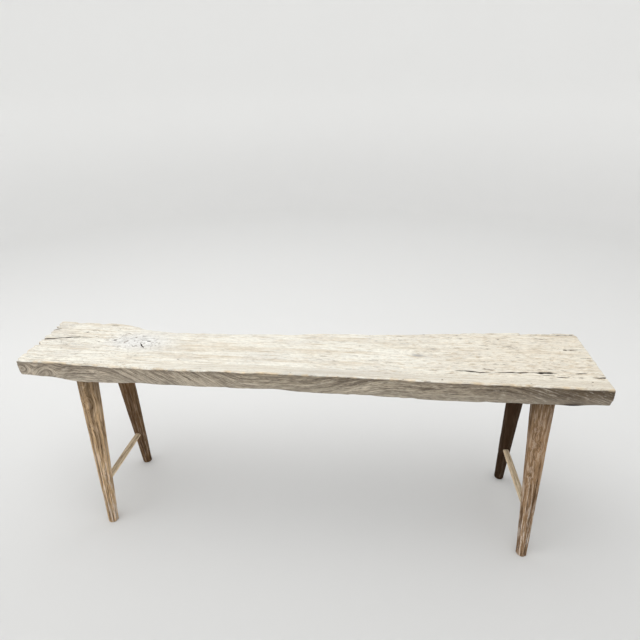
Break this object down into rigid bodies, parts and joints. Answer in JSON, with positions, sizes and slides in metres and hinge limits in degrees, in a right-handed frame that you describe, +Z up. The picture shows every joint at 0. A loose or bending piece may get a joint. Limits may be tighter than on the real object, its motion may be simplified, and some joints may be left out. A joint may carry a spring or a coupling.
{
  "type": "backless bench",
  "caption": "Long backless bench: a thick live-edge plank seat on splayed, tapered round legs, with a round stretcher tying each end pair.",
  "frame": {"origin": "on the floor, below the middle of the whole bench's box", "axes": "+X along the seat, +Z up, -Y towards the straight front edge"},
  "size_m": [1.2494, 0.2733, 0.457],
  "materials": {
    "seat_wood": "bleached, worn and dry, open grain with cracks",
    "leg_wood": "weathered brown, hand-hewn, matt",
    "stretcher_wood": "pale olive brown, whittled, matt",
    "wedge_wood": "plain unfinished hardwood, hidden"
  },
  "bodies": {
    "root": {"seat_slab": "seat_wood", "leg_front_left": "leg_wood", "leg_front_right": "leg_wood", "leg_back_left": "leg_wood", "leg_back_right": "leg_wood", "stretcher_left": "stretcher_wood", "stretcher_right": "stretcher_wood", "wedge_front_left": "wedge_wood", "wedge_front_right": "wedge_wood", "wedge_back_left": "wedge_wood", "wedge_back_right": "wedge_wood"}
  },
  "joints": []
}
